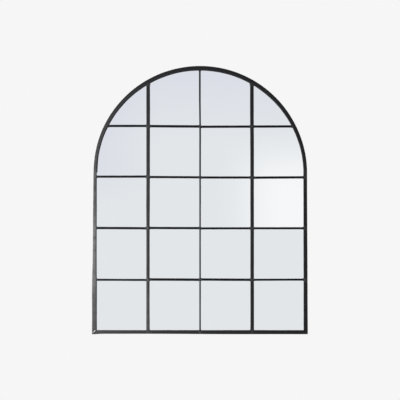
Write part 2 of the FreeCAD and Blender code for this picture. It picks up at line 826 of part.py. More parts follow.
doc.recompute()
for obj in doc.Objects:
    bad = [s for s in obj.State if s in ("Invalid", "Error")]
    if bad:
        raise RuntimeError("%s is %s" % (obj.Label, bad))
    if obj.TypeId == "Sketcher::SketchObject" and not obj.FullyConstrained:
        raise RuntimeError("%s is not fully constrained" % obj.Label)
if len(subparts) > 60:
    raise RuntimeError("too many sub-parts")
total = 0
for obj in subparts:
    shape = obj.Shape
    if shape.isNull() or not shape.isValid() or not shape.Solids:
        raise RuntimeError("%s has no valid solid" % obj.Label)
    if obj.TypeId == "PartDesign::Body" and len(shape.Solids) != 1:
        raise RuntimeError("%s is %d solids" % (obj.Label, len(shape.Solids)))
for obj in subparts:
    obj.Shape.exportStep("parts/%s.step" % obj.Label)
    box = obj.Shape.BoundBox
    total += len(obj.Shape.Solids)
    print("%-24s solids %2d  volume %10.1f  x %8.2f %8.2f  y %7.2f %7.2f  z %8.2f %8.2f"
          % (obj.Label, len(obj.Shape.Solids), obj.Shape.Volume, box.XMin, box.XMax,
             box.YMin, box.YMax, box.ZMin, box.ZMax))
print("nodes", len(subparts), "solids", total)
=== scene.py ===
import bpy
import json
import math
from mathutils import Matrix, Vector

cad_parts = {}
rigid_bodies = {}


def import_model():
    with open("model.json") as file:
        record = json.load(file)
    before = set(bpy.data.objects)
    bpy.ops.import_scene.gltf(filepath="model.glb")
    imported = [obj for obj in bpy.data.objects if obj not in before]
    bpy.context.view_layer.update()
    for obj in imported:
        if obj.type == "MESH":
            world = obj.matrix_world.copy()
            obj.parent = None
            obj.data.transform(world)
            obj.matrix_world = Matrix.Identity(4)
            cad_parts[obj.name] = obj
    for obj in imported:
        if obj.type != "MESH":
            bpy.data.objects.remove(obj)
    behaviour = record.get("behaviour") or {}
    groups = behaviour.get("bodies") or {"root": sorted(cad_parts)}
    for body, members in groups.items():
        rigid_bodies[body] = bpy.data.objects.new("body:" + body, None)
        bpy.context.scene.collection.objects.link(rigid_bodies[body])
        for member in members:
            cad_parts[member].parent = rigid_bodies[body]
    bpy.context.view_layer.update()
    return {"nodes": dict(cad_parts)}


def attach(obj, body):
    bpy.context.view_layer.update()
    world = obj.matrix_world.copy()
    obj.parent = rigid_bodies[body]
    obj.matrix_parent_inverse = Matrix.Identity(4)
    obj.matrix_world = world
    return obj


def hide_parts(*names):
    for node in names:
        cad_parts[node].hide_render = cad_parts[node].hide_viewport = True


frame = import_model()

# Arched window mirror: painted steel lattice, twenty mirror panes, back board,
# D-ring hangers.  Metres; +X right, +Z up, the room is towards -Y, the wall at Y = 0.

MM = 0.001
HANG = 878.0            # bottom edge to the line of the hooks
HALF = 400.0
HEIGHT = 1005.0
SPRING = HEIGHT - HALF
DEPTH = 25.0
FACE = 12.5             # front width of the jambs
RAIL_FACE = 14.5
INNER_R = HALF - FACE   # inner edge of the head, struck from a lower centre
INNER_C = SPRING - 3.6
FLANGE = 3.5
LEG = 2.5
JOINT = SPRING
FRAME_ROUND = 2.4
FOOT_LEFT = 4.0         # how far each jamb's foot spreads past the head
FOOT_RIGHT = 3.0
MULLION = 195.0
MULLION_FACE = 13.0
MULLION_WEB = 7.0
CENTRE_FACE = 6.4       # centre upright
BAR_FACE = 8.2          # crossbars
BAR_WEB = 1.2
SETBACK = 0.3
LEDGE = DEPTH - FLANGE
PANE_FRONT = LEDGE - 1.5
PANE_BACK = PANE_FRONT - 3.0
GAP = 0.5
ROWS = [[780.0, 778.7, 777.3, 778.1], [589.8, 587.8, 586.6, 586.6],
        [396.7, 397.0, 395.9, 396.2], [203.0, 204.0, 203.8, 203.6]]


def cross_height(row, col):
    return ROWS[row - 1][col - 1]


def head_edge(x):
    """Height of the head's inner edge at a distance from the middle."""
    return INNER_C + math.sqrt(INNER_R ** 2 - x ** 2)


def head_reach(z):
    """Half the clear width of the head at a height."""
    return math.sqrt(INNER_R ** 2 - (z - INNER_C) ** 2)


# ------------------------------------------------------------------ small helpers

def wave(seed, s, scale):
    """A smooth, repeatable wander between about -1 and 1 along s."""
    a = s / scale
    return (0.50 * math.sin(a * 1.00 + seed * 1.7)
            + 0.30 * math.sin(a * 2.31 + seed * 3.1 + 0.6)
            + 0.20 * math.sin(a * 4.73 + seed * 5.3 + 1.9))


def smooth(a, b, x):
    t = max(0.0, min(1.0, (x - a) / (b - a)))
    return t * t * (3 - 2 * t)


def nodes_of(material):
    material.use_nodes = True
    tree = material.node_tree
    return tree, tree.nodes, tree.links, tree.nodes["Principled BSDF"]


def noise(nodes, links, coord, scale, detail=4.0, rough=0.55, stretch=None):
    if stretch:
        mapping = nodes.new("ShaderNodeMapping")
        mapping.inputs["Scale"].default_value = stretch
        links.new(coord, mapping.inputs["Vector"])
        coord = mapping.outputs["Vector"]
    n = nodes.new("ShaderNodeTexNoise")
    n.inputs["Scale"].default_value = scale
    n.inputs["Detail"].default_value = detail
    n.inputs["Roughness"].default_value = rough
    links.new(coord, n.inputs["Vector"])
    return n.outputs["Fac"]


def span(nodes, links, value, low, high, to_low, to_high):
    r = nodes.new("ShaderNodeMapRange")
    r.inputs["From Min"].default_value = low
    r.inputs["From Max"].default_value = high
    r.inputs["To Min"].default_value = to_low
    r.inputs["To Max"].default_value = to_high
    links.new(value, r.inputs["Value"])
    return r.outputs["Result"]


def math_node(nodes, links, op, a, b=None, c=None):
    n = nodes.new("ShaderNodeMath")
    n.operation = op
    for i, v in enumerate((a, b, c)):
        if v is None:
            continue
        if isinstance(v, (int, float)):
            n.inputs[i].default_value = v
        else:
            links.new(v, n.inputs[i])
    return n.outputs[0]


def mix_colour(nodes, links, fac, a, b):
    n = nodes.new("ShaderNodeMix")
    n.data_type = "RGBA"
    for name, v in (("Factor", fac), ("A", a), ("B", b)):
        sock = [s for s in n.inputs if s.name == name and
                (s.type == ("VALUE" if name == "Factor" else "RGBA"))][0]
        if isinstance(v, tuple):
            sock.default_value = (*v, 1.0)
        elif isinstance(v, (int, float)):
            sock.default_value = v
        else:
            links.new(v, sock)
    return [s for s in n.outputs if s.type == "RGBA"][0]


def bump(nodes, links, height, strength, distance, below=None):
    b = nodes.new("ShaderNodeBump")
    b.inputs["Strength"].default_value = strength
    b.inputs["Distance"].default_value = distance
    links.new(height, b.inputs["Height"])
    if below is not None:
        links.new(below, b.inputs["Normal"])
    return b.outputs["Normal"]


def attribute(nodes, name):
    a = nodes.new("ShaderNodeAttribute")
    a.attribute_name = name
    return a.outputs["Fac"]


# ------------------------------------------------------------------ materials

def black_paint(name, dark, light, rough_low, rough_high, specular):
    """Brushed-on satin black: blotchy in tone and gloss, thin and greyer along the
    front edges and at the ground welds, and greyer on the left-hand pieces, partly thin paint
    and partly painted sheen of the light on the left."""
    m = bpy.data.materials.new(name)
    tree, nodes, links, shader = nodes_of(m)
    coord = nodes.new("ShaderNodeTexCoord").outputs["Object"]
    blotch = noise(nodes, links, coord, 38.0, 5.0, 0.62)
    grain = noise(nodes, links, coord, 420.0, 3.0, 0.6)
    fine = noise(nodes, links, coord, 1600.0, 2.0, 0.5)
    edge = attribute(nodes, "edge")
    weld = attribute(nodes, "weld")
    wear_and_sheen = attribute(nodes, "wear_and_sheen")
    tone = span(nodes, links, blotch, 0.35, 0.70, 0.0, 1.0)
    base = mix_colour(nodes, links, tone, dark, light)
    rub = math_node(nodes, links, "MULTIPLY", edge,
                    span(nodes, links, grain, 0.52, 0.66, 0.0, 0.75))
    base = mix_colour(nodes, links, rub, base, (0.034, 0.033, 0.032))
    # a greyer coat on the left-hand pieces: partly thin paint, partly painted sheen of the light
    # on the left
    thin = math_node(nodes, links, "MULTIPLY", wear_and_sheen,
                     span(nodes, links, blotch, 0.30, 0.62, 0.45, 1.0))
    base = mix_colour(nodes, links, thin, base, (0.030, 0.030, 0.031))
    ground = math_node(nodes, links, "MULTIPLY", weld,
                       span(nodes, links, grain, 0.40, 0.62, 0.05, 0.6))
    base = mix_colour(nodes, links, ground, base, (0.034, 0.034, 0.035))
    links.new(base, shader.inputs["Base Color"])
    links.new(span(nodes, links, blotch, 0.30, 0.72, rough_high, rough_low),
              shader.inputs["Roughness"])
    shader.inputs["Specular IOR Level"].default_value = specular
    normal = bump(nodes, links, blotch, 0.30, 0.0012)
    normal = bump(nodes, links, grain, 0.28, 0.00012, normal)
    normal = bump(nodes, links, fine, 0.14, 0.00004, normal)
    links.new(normal, shader.inputs["Normal"])
    return m


def mirror_front():
    """Silvered face: near perfect, with the faintest dust and a slight darkening
    within a few millimetres of the cut edge."""
    m = bpy.data.materials.new("mirror_silver")
    tree, nodes, links, shader = nodes_of(m)
    coord = nodes.new("ShaderNodeTexCoord").outputs["Object"]
    cloud = noise(nodes, links, coord, 9.0, 3.0, 0.5)
    dust = noise(nodes, links, coord, 260.0, 6.0, 0.7)
    rim = attribute(nodes, "rim")
    base = mix_colour(nodes, links, span(nodes, links, cloud, 0.3, 0.7, 0.0, 1.0),
                      (0.822, 0.857, 0.882), (0.829, 0.861, 0.886))
    base = mix_colour(nodes, links, math_node(nodes, links, "MULTIPLY", rim, 0.5),
                      base, (0.60, 0.64, 0.64))
    links.new(base, shader.inputs["Base Color"])
    shader.inputs["Metallic"].default_value = 1.0
    links.new(span(nodes, links, dust, 0.45, 0.75, 0.012, 0.035),
              shader.inputs["Roughness"])
    return m


def glass_edge():
    m = bpy.data.materials.new("mirror_cut_edge")
    tree, nodes, links, shader = nodes_of(m)
    coord = nodes.new("ShaderNodeTexCoord").outputs["Object"]
    chips = noise(nodes, links, coord, 900.0, 3.0, 0.6)
    base = mix_colour(nodes, links, span(nodes, links, chips, 0.4, 0.65, 0.0, 1.0),
                      (0.05, 0.17, 0.13), (0.16, 0.32, 0.27))
    links.new(base, shader.inputs["Base Color"])
    shader.inputs["Roughness"].default_value = 0.28
    links.new(bump(nodes, links, chips, 0.5, 0.0001), shader.inputs["Normal"])
    return m


def glass_back():
    m = bpy.data.materials.new("mirror_back_paint")
    tree, nodes, links, shader = nodes_of(m)
    coord = nodes.new("ShaderNodeTexCoord").outputs["Object"]
    drift = noise(nodes, links, coord, 30.0, 5.0, 0.6)
    base = mix_colour(nodes, links, drift, (0.16, 0.18, 0.20), (0.22, 0.24, 0.25))
    links.new(base, shader.inputs["Base Color"])
    shader.inputs["Roughness"].default_value = 0.55
    return m


def foam_tape():
    m = bpy.data.materials.new("black_foam_tape")
    tree, nodes, links, shader = nodes_of(m)
    coord = nodes.new("ShaderNodeTexCoord").outputs["Object"]
    cells = nodes.new("ShaderNodeTexVoronoi")
    cells.inputs["Scale"].default_value = 2600.0
    links.new(coord, cells.inputs["Vector"])
    tone = span(nodes, links, cells.outputs["Distance"], 0.0, 0.8, 0.0, 1.0)
    base = mix_colour(nodes, links, tone, (0.006, 0.006, 0.006), (0.018, 0.018, 0.019))
    links.new(base, shader.inputs["Base Color"])
    shader.inputs["Roughness"].default_value = 0.95
    shader.inputs["Specular IOR Level"].default_value = 0.15
    links.new(bump(nodes, links, cells.outputs["Distance"], 0.6, 0.0002),
              shader.inputs["Normal"])
    return m


def hardboard():
    """Pressed wood fibre: mottled brown, darker flecks, a faint screen pattern."""
    m = bpy.data.materials.new("hardboard")
    tree, nodes, links, shader = nodes_of(m)
    coord = nodes.new("ShaderNodeTexCoord").outputs["Object"]
    cloud = noise(nodes, links, coord, 7.0, 6.0, 0.6)
    fibre = noise(nodes, links, coord, 240.0, 5.0, 0.7, (1.0, 1.0, 0.35))
    fleck = noise(nodes, links, coord, 700.0, 3.0, 0.65)
    base = mix_colour(nodes, links, span(nodes, links, cloud, 0.3, 0.7, 0.0, 1.0),
                      (0.150, 0.082, 0.040), (0.225, 0.130, 0.066))
    base = mix_colour(nodes, links, span(nodes, links, fibre, 0.42, 0.62, 0.0, 0.45),
                      base, (0.300, 0.190, 0.105))
    base = mix_colour(nodes, links, span(nodes, links, fleck, 0.60, 0.72, 0.0, 0.7),
                      base, (0.060, 0.032, 0.018))
    links.new(base, shader.inputs["Base Color"])
    links.new(span(nodes, links, fibre, 0.3, 0.7, 0.62, 0.85),
              shader.inputs["Roughness"])
    # the mesh side of the board: fine woven dimples
    weave = nodes.new("ShaderNodeTexWave")
    weave.wave_type = "BANDS"
    weave.bands_direction = "X"
    weave.inputs["Scale"].default_value = 130.0
    weave.inputs["Distortion"].default_value = 0.6
    links.new(coord, weave.inputs["Vector"])
    weft = nodes.new("ShaderNodeTexWave")
    weft.wave_type = "BANDS"
    weft.bands_direction = "Z"
    weft.inputs["Scale"].default_value = 130.0
    weft.inputs["Distortion"].default_value = 0.6
    links.new(coord, weft.inputs["Vector"])
    screen = math_node(nodes, links, "MULTIPLY", weave.outputs["Fac"],
                       weft.outputs["Fac"])
    normal = bump(nodes, links, screen, 0.30, 0.00025)
    normal = bump(nodes, links, fibre, 0.45, 0.0003, normal)
    links.new(normal, shader.inputs["Normal"])
    return m


def plated(name, low, high, rough_low, rough_high, spangle, scale):
    m = bpy.data.materials.new(name)
    tree, nodes, links, shader = nodes_of(m)
    coord = nodes.new("ShaderNodeTexCoord").outputs["Object"]
    cells = nodes.new("ShaderNodeTexVoronoi")
    cells.inputs["Scale"].default_value = scale
    links.new(coord, cells.inputs["Vector"])
    grey = nodes.new("ShaderNodeSeparateColor")
    links.new(cells.outputs["Color"], grey.inputs["Color"])
    stain = noise(nodes, links, coord, 120.0, 5.0, 0.65)
    tone = math_node(nodes, links, "ADD",
                     math_node(nodes, links, "MULTIPLY", grey.outputs[0], spangle),
                     math_node(nodes, links, "MULTIPLY", stain, 1.0 - spangle))
    links.new(mix_colour(nodes, links, tone, low, high), shader.inputs["Base Color"])
    shader.inputs["Metallic"].default_value = 1.0
    links.new(span(nodes, links, tone, 0.2, 0.8, rough_high, rough_low),
              shader.inputs["Roughness"])
    scratch = noise(nodes, links, coord, 900.0, 2.0, 0.5, (1.0, 1.0, 0.06))
    links.new(bump(nodes, links, scratch, 0.12, 0.00006), shader.inputs["Normal"])
    return m


PAINT = black_paint("frame_paint", (0.0018, 0.0021, 0.0028), (0.0050, 0.0052, 0.0058),
                    0.38, 0.54, 0.145)
# the side faces' coat: rougher and less glossy, with a lighter base colour that is painted sheen
SIDE_PAINT_WITH_SHEEN = black_paint("frame_paint_sides_painted_sheen", (0.0080, 0.0083, 0.0090), (0.0140, 0.0142, 0.0148),
                         0.78, 0.90, 0.03)
BAR_PAINT = black_paint("bar_paint", (0.0022, 0.0024, 0.0028), (0.0045, 0.0045, 0.005),
                        0.44, 0.58, 0.03)
SILVER = mirror_front()
EDGE = glass_edge()
BACKING = glass_back()
TAPE = foam_tape()
BOARD = hardboard()
ZINC = plated("zinc_plate", (0.40, 0.41, 0.43), (0.66, 0.67, 0.69), 0.28, 0.46, 0.55, 420.0)
SCREW = plated("screw_zinc", (0.50, 0.50, 0.50), (0.74, 0.74, 0.75), 0.22, 0.36, 0.2, 900.0)
NICKEL = plated("nickel_wire", (0.56, 0.54, 0.50), (0.74, 0.72, 0.68), 0.12, 0.24, 0.1, 600.0)


# ------------------------------------------------------------------ swept steel

def rounded(points, radii, steps):
    """A closed outline with its corners rounded. Returns [(u, v, edge, head)]."""
    out = []
    count = len(points)
    for i, (u, v, edge, head) in enumerate(points):
        r = radii[i]
        pu, pv = points[i - 1][:2]
        nu, nv = points[(i + 1) % count][:2]
        if r <= 0:
            out.append((u, v, edge, head))
            continue
        a = Vector((pu - u, pv - v)).normalized()
        b = Vector((nu - u, nv - v)).normalized()
        half_angle = a.angle(b) / 2
        back = r / math.tan(half_angle)
        start = Vector((u, v)) + a * back
        stop = Vector((u, v)) + b * back
        centre = Vector((u, v)) + (a + b).normalized() * (r / math.sin(half_angle))
        s = start - centre
        e = stop - centre
        turn = s.angle_signed(e)
        n = steps[i]
        for k in range(n + 1):
            t = -turn * k / n
            p = centre + Vector((s.x * math.cos(t) - s.y * math.sin(t),
                                 s.x * math.sin(t) + s.y * math.cos(t)))
            out.append((p.x, p.y, edge, head))
    return out


def crown(centre, half, base, front, power, count=18):
    """The slightly bellied front of a bar, with wear at its edges, from its + side to its -
    side.
    """
    out = []
    for k in range(count + 1):
        t = math.pi * k / count
        c, q = math.cos(t), math.sin(t)
        u = math.copysign(abs(c) ** (2 / power), c)
        v = abs(q) ** (2 / power)
        wear = smooth(0.70, 0.92, abs(u)) * smooth(0.15, 0.45, v)
        out.append((centre + half * u, base + (front - base) * v, wear, 1))
    return out


def l_section(face=None, power=7.0, rise=1.8):
    """Frame section: across = distance in from the outside, deep from the wall."""
    f = face or FACE
    pts = [(0, 0, 0.3, 0), (LEG, 0, 0.3, 0), (LEG, LEDGE, 0, 0), (f, LEDGE, 0.3, 1)]
    out = rounded([(0, DEPTH, 0, 0)] + pts + [(f, DEPTH, 0, 0)],
                  [0, 0.4, 0.4, 0.5, 0.4, 0], [0, 2, 2, 2, 2, 0])[1:-1]
    return out + crown(f / 2, f / 2, DEPTH - rise, DEPTH, power)


def t_section(head, web, front, power):
    """Bar section: across from its middle, deep from the wall."""
    h, w = head / 2, web / 2
    pts = [(h, front, 0, 1), (h, LEDGE, 0.3, 1), (w, LEDGE, 0, 0), (w, PANE_BACK, 0.3, 0),
           (-w, PANE_BACK, 0.3, 0), (-w, LEDGE, 0, 0), (-h, LEDGE, 0.3, 1),
           (-h, front, 0, 1)]
    small = min(0.4, w * 0.6)
    under = rounded(pts, [0, 0.35, 0.3, small, small, 0.3, 0.35, 0],
                    [0, 2, 2, 2, 2, 2, 2, 0])[1:-1]
    return under + list(reversed(crown(0, h, LEDGE + 0.7, front, power)))


def make_mesh(name, verts, faces, attrs, materials, face_slots=None, sharp=32):
    mesh = bpy.data.meshes.new(name)
    mesh.from_pydata([(x * MM, y * MM, z * MM) for x, y, z in verts], [], faces)
    for key, values in attrs.items():
        layer = mesh.attributes.new(key, "FLOAT", "POINT")
        layer.data.foreach_set("value", values)
    for m in materials:
        mesh.materials.append(m)
    if face_slots:
        for poly, slot in zip(mesh.polygons, face_slots):
            poly.material_index = slot
    mesh.validate()
    mesh.update()
    obj = bpy.data.objects.new(name, mesh)
    bpy.context.scene.collection.objects.link(obj)
    for poly in mesh.polygons:
        poly.use_smooth = True
    mesh.set_sharp_from_angle(angle=math.radians(sharp))
    return obj


def sweep(section, stations, place, welds, wear_and_sheen=None):
    """Skin a section along a bar. stations are distances along it; place(s, u, v,
    which) gives the point, where which is -1 at the first, 1 at the last station.
    welds are the distances at which something is welded on, and worn(s, u) says how
    thin the paint is there and how much painted sheen of the light on the left it carries."""
    verts, edge, weld, rub = [], [], [], []
    last = len(stations) - 1
    for k, s in enumerate(stations):
        which = -1 if k == 0 else (1 if k == last else 0)
        near = 0.0
        for w in welds:
            near = max(near, math.exp(-((s - w) / 5.5) ** 2))
        for j, (u, v, e, head) in enumerate(section):
            verts.append(place(s, u, v, which, head))
            edge.append(e)
            weld.append(near * (1.0 if head else 0.0))
            rub.append(wear_and_sheen(s, u) if wear_and_sheen and head else 0.0)
    n = len(section)
    faces = []
    for k in range(last):
        for j in range(n):
            a = k * n + j
            b = k * n + (j + 1) % n
            faces.append((a, a + n, b + n, b))
    faces.append(tuple(range(n)))
    faces.append(tuple(reversed(range(last * n, last * n + n))))
    return verts, faces, {"edge": edge, "weld": weld, "wear_and_sheen": rub}


def orient(obj):
    """Make the faces point outwards."""
    import bmesh
    bm = bmesh.new()
    bm.from_mesh(obj.data)
    bmesh.ops.triangulate(bm, faces=[f for f in bm.faces if len(f.verts) > 4])
    bmesh.ops.recalc_face_normals(bm, faces=bm.faces)
    bm.to_mesh(obj.data)
    bm.free()
    obj.data.set_sharp_from_angle(angle=math.radians(32))


def stations(start, stop, pitch=9.0, dense=()):
    """Distances along a bar: close together at its ends and beside each weld."""
    marks = {start, stop}
    fine = (0.7, 1.5, 2.5, 3.8, 5.5, 8.0, 11.5)
    for d in fine:
        marks.add(start + d)
        marks.add(stop - d)
    for w in dense:
        for d in (0.0, 1.2, 2.6, 4.4, 7.0, 10.5):
            for side in (-1, 1):
                if start + 1 < w + d * side < stop - 1:
                    marks.add(w + d * side)
    s = start
    while s < stop:
        marks.add(s)
        s += pitch
    ordered = sorted(m for m in marks if start <= m <= stop)
    out = [ordered[0]]
    for m in ordered[1:]:
        if m - out[-1] > 0.45:
            out.append(m)
    out[-1] = stop
    return out


def finish_piece(obj, node, body="mirror"):
    orient(obj)
    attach(obj, body)
    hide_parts(node)
    return obj


# head of the frame
def arch():
    sec = l_section(None, 4.2, 2.2)
    a0, a1 = 0.0, math.pi
    length = HALF * (a1 - a0)
    st = stations(0.0, length, 7.0)

    def place(s, u, v, which, head):
        r = HALF - u
        ang = a0 + (a1 - a0) * s / length
        if head:
            if u < 4:
                r -= 0.12 + 0.12 * wave(3.1, s, 46.0)
            else:
                drop = SPRING - INNER_C
                q = (-drop * math.sin(ang)
                     + math.sqrt(INNER_R ** 2 - (drop * math.cos(ang)) ** 2))
                r = q + (FACE - u)
                r += 0.22 * wave(4.7, s, 38.0) + 0.10 * wave(1.3, s, 9.0)
                if u > FACE - 2.5:
                    r -= 1.3 * smooth(0.945 * length, 0.975 * length, s)
            if v > LEDGE + 1:
                v -= 0.10 + 0.10 * wave(2.2, s, 60.0)
        z = SPRING + r * math.sin(ang)
        lean = 1.2 * smooth(800.0, 640.0, z)
        return (r * math.cos(ang) + lean, -v, z - HANG)
    # the head's left half: thin paint and painted sheen of the light on the left
    def wear_and_sheen(s, u):
        left = smooth(length * 0.55, length, s)
        return left * 0.30 * smooth(3.0, 5.0, u) * smooth(10.0, 8.0, u)
    verts, faces, attrs = sweep(sec, st, place, [0.0, length], wear_and_sheen)
    return finish_piece(make_mesh("frame_arch_steel", verts, faces, attrs, [PAINT]),
                        "frame_arch")


def jamb(side):
    label = "left" if side < 0 else "right"
    sec = l_section()
    welds = [JOINT] + [cross_height(r, 1 if side < 0 else 4) for r in (2, 3, 4)]
    st = stations(0.0, JOINT, 9.0, welds[1:])

    def place(s, u, v, which, head):
        low, top = ((FOOT_LEFT, -1.0) if side < 0 else (FOOT_RIGHT, 1.0))
        stand = 0.0
        if u < FACE - 0.6 and not (abs(u - LEG) < 0.6 and not head):
            stand = (top + (low - top) * (1 - s / JOINT)) * (1 - u / FACE)
        mitre = RAIL_FACE * (u + low - stand) / (FACE + low)
        z = mitre if which == -1 else max(s, mitre + 0.2)
        x = HALF - u + stand
        if head:
            if u < 4:
                x -= 0.15 + 0.15 * wave(6.0 + side, s, 52.0)
                if side < 0:
                    x += 1.2 * smooth(280.0, 205.0, z) * smooth(60.0, 160.0, z)
            else:
                x += 0.22 * wave(8.0 + side, s, 41.0) + 0.10 * wave(2.0 + side, s, 8.0)
                if u > FACE - 2.5:
                    if side < 0:
                        x -= 1.0 * smooth(230.0, 190.0, z)
                    else:
                        x += 0.8
            if v > LEDGE + 1:
                v -= 0.10 + 0.10 * wave(5.0 + side, s, 55.0)
        return (side * x, -v, z - HANG)
    # left jamb only: thin paint and painted sheen of the light on the left
    def wear_and_sheen(s, u):
        if side > 0:
            return 0.0
        along = smooth(110.0, 210.0, s) * smooth(480.0, 400.0, s)
        along = 0.35 + 0.75 * along + 0.22 * wave(1.9, s, 17.0) + 0.15 * wave(4.9, s, 5.0)
        return max(0.0, along) * (1.0 - 0.6 * smooth(FACE - 4.5, FACE - 1.5, u))
    verts, faces, attrs = sweep(sec, st, place, [0.0] + welds, wear_and_sheen)
    return finish_piece(make_mesh("frame_%s_jamb_steel" % label, verts, faces, attrs,
                                  [PAINT]), "frame_%s_jamb" % label)


def rail():
    sec = l_section(RAIL_FACE)
    left, right = -HALF - FOOT_LEFT, HALF + FOOT_RIGHT
    st = stations(left, right, 9.0, (-MULLION, 0.0, MULLION))

    def place(s, u, v, which, head):
        x = s
        in_left = u * (FACE + FOOT_LEFT) / RAIL_FACE
        in_right = u * (FACE + FOOT_RIGHT) / RAIL_FACE
        if which == -1:
            x = left + in_left
        elif which == 1:
            x = right - in_right
        else:
            x = max(left + in_left + 0.2, min(right - in_right - 0.2, x))
        z = u
        if head:
            if u < 4:
                z += 0.12 + 0.12 * wave(9.4, s, 60.0)
                z += (0.3 + 1.6 * smooth(150.0, -250.0, s)) * smooth(left, left + 45.0, s)
            else:
                z -= 0.22 * wave(7.7, s, 44.0) + 0.08 * wave(3.7, s, 9.0)
            if v > LEDGE + 1:
                v -= 0.10 + 0.10 * wave(4.4, s, 50.0)
        return (x, -v, z - HANG)
    verts, faces, attrs = sweep(sec, st, place, [left, -MULLION, 0.0, MULLION, right])
    return finish_piece(make_mesh("frame_bottom_rail_steel", verts, faces, attrs,
                                  [PAINT]), "frame_bottom_rail")


def flare(distance, amount, reach):
    """How much a weld fillet widens a bar at this distance from its end."""
    if distance < 0 or distance > reach:
        return 0.0
    t = 1 - distance / reach
    return amount * t * t


def upright(label, across, head, web, power, material, seed):
    sec = t_section(head, web, DEPTH, power)

    def bow(z):
        """These bars aren't quite straight: each strays by less than a millimetre."""
        if label == "left":
            return 0.2 + 0.4 * smooth(120.0, 20.0, z) + 0.3 * smooth(500.0, 650.0, z)
        if label == "right":
            return 0.4 - 0.7 * smooth(680.0, 900.0, z)
        return 0.4 - 1.2 * smooth(760.0, 930.0, z)
    top = head_edge(across)
    cols = {"left": (1, 2), "right": (3, 4), "centre": (2, 3)}[label]
    welds = sorted({cross_height(r, c) for r in (1, 2, 3, 4) for c in cols})
    st = stations(RAIL_FACE, top, 9.0, welds)

    def place(s, u, v, which, headed):
        x = across + u + bow(s)
        z = s
        limit = head_edge(x)
        if which == 1:
            z = limit
        else:
            z = min(z, limit - 0.2)
        if headed:
            side = 1 if u > 0 else -1
            if abs(u) > web / 2 + 0.5:
                grow = 0.20 * wave(seed + side, s, 43.0) + 0.08 * wave(seed * 2 + side, s, 7.5)
                grow += flare(top - s, 1.6, 7.0) + flare(s - RAIL_FACE, 1.4, 6.0)
                if label == "left":
                    grow += 0.25 * smooth(700.0, 850.0, s) - 0.55 * smooth(480.0, 380.0, s)
                elif label == "right":
                    grow += 0.25 * smooth(560.0, 700.0, s)
                else:
                    grow -= 0.35 * smooth(560.0, 480.0, s)
                x += side * grow
            if v > LEDGE + 1:
                v -= 0.08 + 0.08 * wave(seed + 3, s, 57.0)
        return (x, -v, z - HANG)
    # left mullion only, near its foot: thin paint and painted sheen of the light on the left
    def wear_and_sheen(s, u):
        if label != "left":
            return 0.0
        return max(0.0, 0.55 * smooth(230.0, 110.0, s) + 0.12 * wave(seed, s, 14.0))
    verts, faces, attrs = sweep(sec, st, place, [RAIL_FACE, top] + welds, wear_and_sheen)
    return finish_piece(make_mesh("mullion_%s_steel" % label, verts, faces, attrs,
                                  [material]), "mullion_%s" % label)


def crossbar(row, col):
    zc = cross_height(row, col)
    # hand-fitted: a few bars are filed a little thinner or sit out of level
    thin = {(4, 1): 0.9, (4, 4): 0.8, (1, 2): -0.6, (3, 1): -0.9, (3, 2): -0.6,
            (2, 4): -0.4, (4, 2): -0.9, (4, 3): -0.6}.get((row, col), 0.0)
    lean = ((-0.002, 0.008, -0.005, -0.003), (-0.002, 0.006, 0.001, -0.008),
            (0.007, 0.004, -0.002, 0.0), (0.005, 0.006, 0.006, -0.005))[row - 1][col - 1]
    sec = t_section(BAR_FACE - thin, BAR_WEB, DEPTH - SETBACK, 3.4)
    inner = HALF - FACE
    reach = head_reach(zc) if row == 1 else inner
    left, right = {1: (-reach, -MULLION - MULLION_FACE / 2),
                   2: (-MULLION + MULLION_FACE / 2, -CENTRE_FACE / 2),
                   3: (CENTRE_FACE / 2, MULLION - MULLION_FACE / 2),
                   4: (MULLION + MULLION_FACE / 2, reach)}[col]
    st = stations(left, right, 8.0)
    seed = row * 5.3 + col * 2.9

    def place(s, u, v, which, headed):
        x = s
        z = zc + u - lean * (s - (left + right) / 2)
        if row == 1 and col in (1, 4):
            limit = head_reach(z)
            if col == 1:
                x = -limit if which == -1 else max(x, -limit + 0.2)
            else:
                x = limit if which == 1 else min(x, limit - 0.2)
        if headed:
            side = 1 if u > 0 else -1
            if abs(u) > BAR_WEB / 2 + 0.5:
                grow = 0.16 * wave(seed + side, s, 40.0) + 0.07 * wave(seed * 2 + side, s, 7.0)
                grow += flare(s - left, 1.5, 6.0) + flare(right - s, 1.5, 6.0)
                z += side * grow
            if v > LEDGE + 1:
                v -= 0.06 + 0.06 * wave(seed + 3, s, 50.0)
        return (x, -v, z - HANG)
    verts, faces, attrs = sweep(sec, st, place, [left, right])
    name = "crossbar_row%d_col%d" % (row, col)
    return finish_piece(make_mesh(name + "_steel", verts, faces, attrs, [BAR_PAINT]),
                        name)


arch()
jamb(-1)
jamb(1)
rail()
upright("left", -MULLION, MULLION_FACE, MULLION_WEB, 6.0, PAINT, 11.0)
upright("right", MULLION, MULLION_FACE, MULLION_WEB, 6.0, PAINT, 17.0)
upright("centre", 0.0, CENTRE_FACE, BAR_WEB, 3.6, PAINT, 23.0)
for row in (1, 2, 3, 4):
    for col in (1, 2, 3, 4):
        crossbar(row, col)


# ------------------------------------------------------------------ weld beads

def ground_steel():
    """A weld filed back after painting: grey steel with fine file marks."""
    m = bpy.data.materials.new("filed_weld")
    tree, nodes, links, shader = nodes_of(m)
    coord = nodes.new("ShaderNodeTexCoord").outputs["Object"]
    patch = noise(nodes, links, coord, 260.0, 4.0, 0.6)
    marks = noise(nodes, links, coord, 1500.0, 2.0, 0.5, (1.0, 1.0, 0.12))
    base = mix_colour(nodes, links, span(nodes, links, patch, 0.35, 0.6, 0.0, 1.0),
                      (0.060, 0.060, 0.061), (0.26, 0.26, 0.255))
    links.new(base, shader.inputs["Base Color"])
    shader.inputs["Roughness"].default_value = 0.5
    shader.inputs["Specular IOR Level"].default_value = 0.35
    links.new(bump(nodes, links, marks, 0.5, 0.00008), shader.inputs["Normal"])
    return m


FILED = ground_steel()


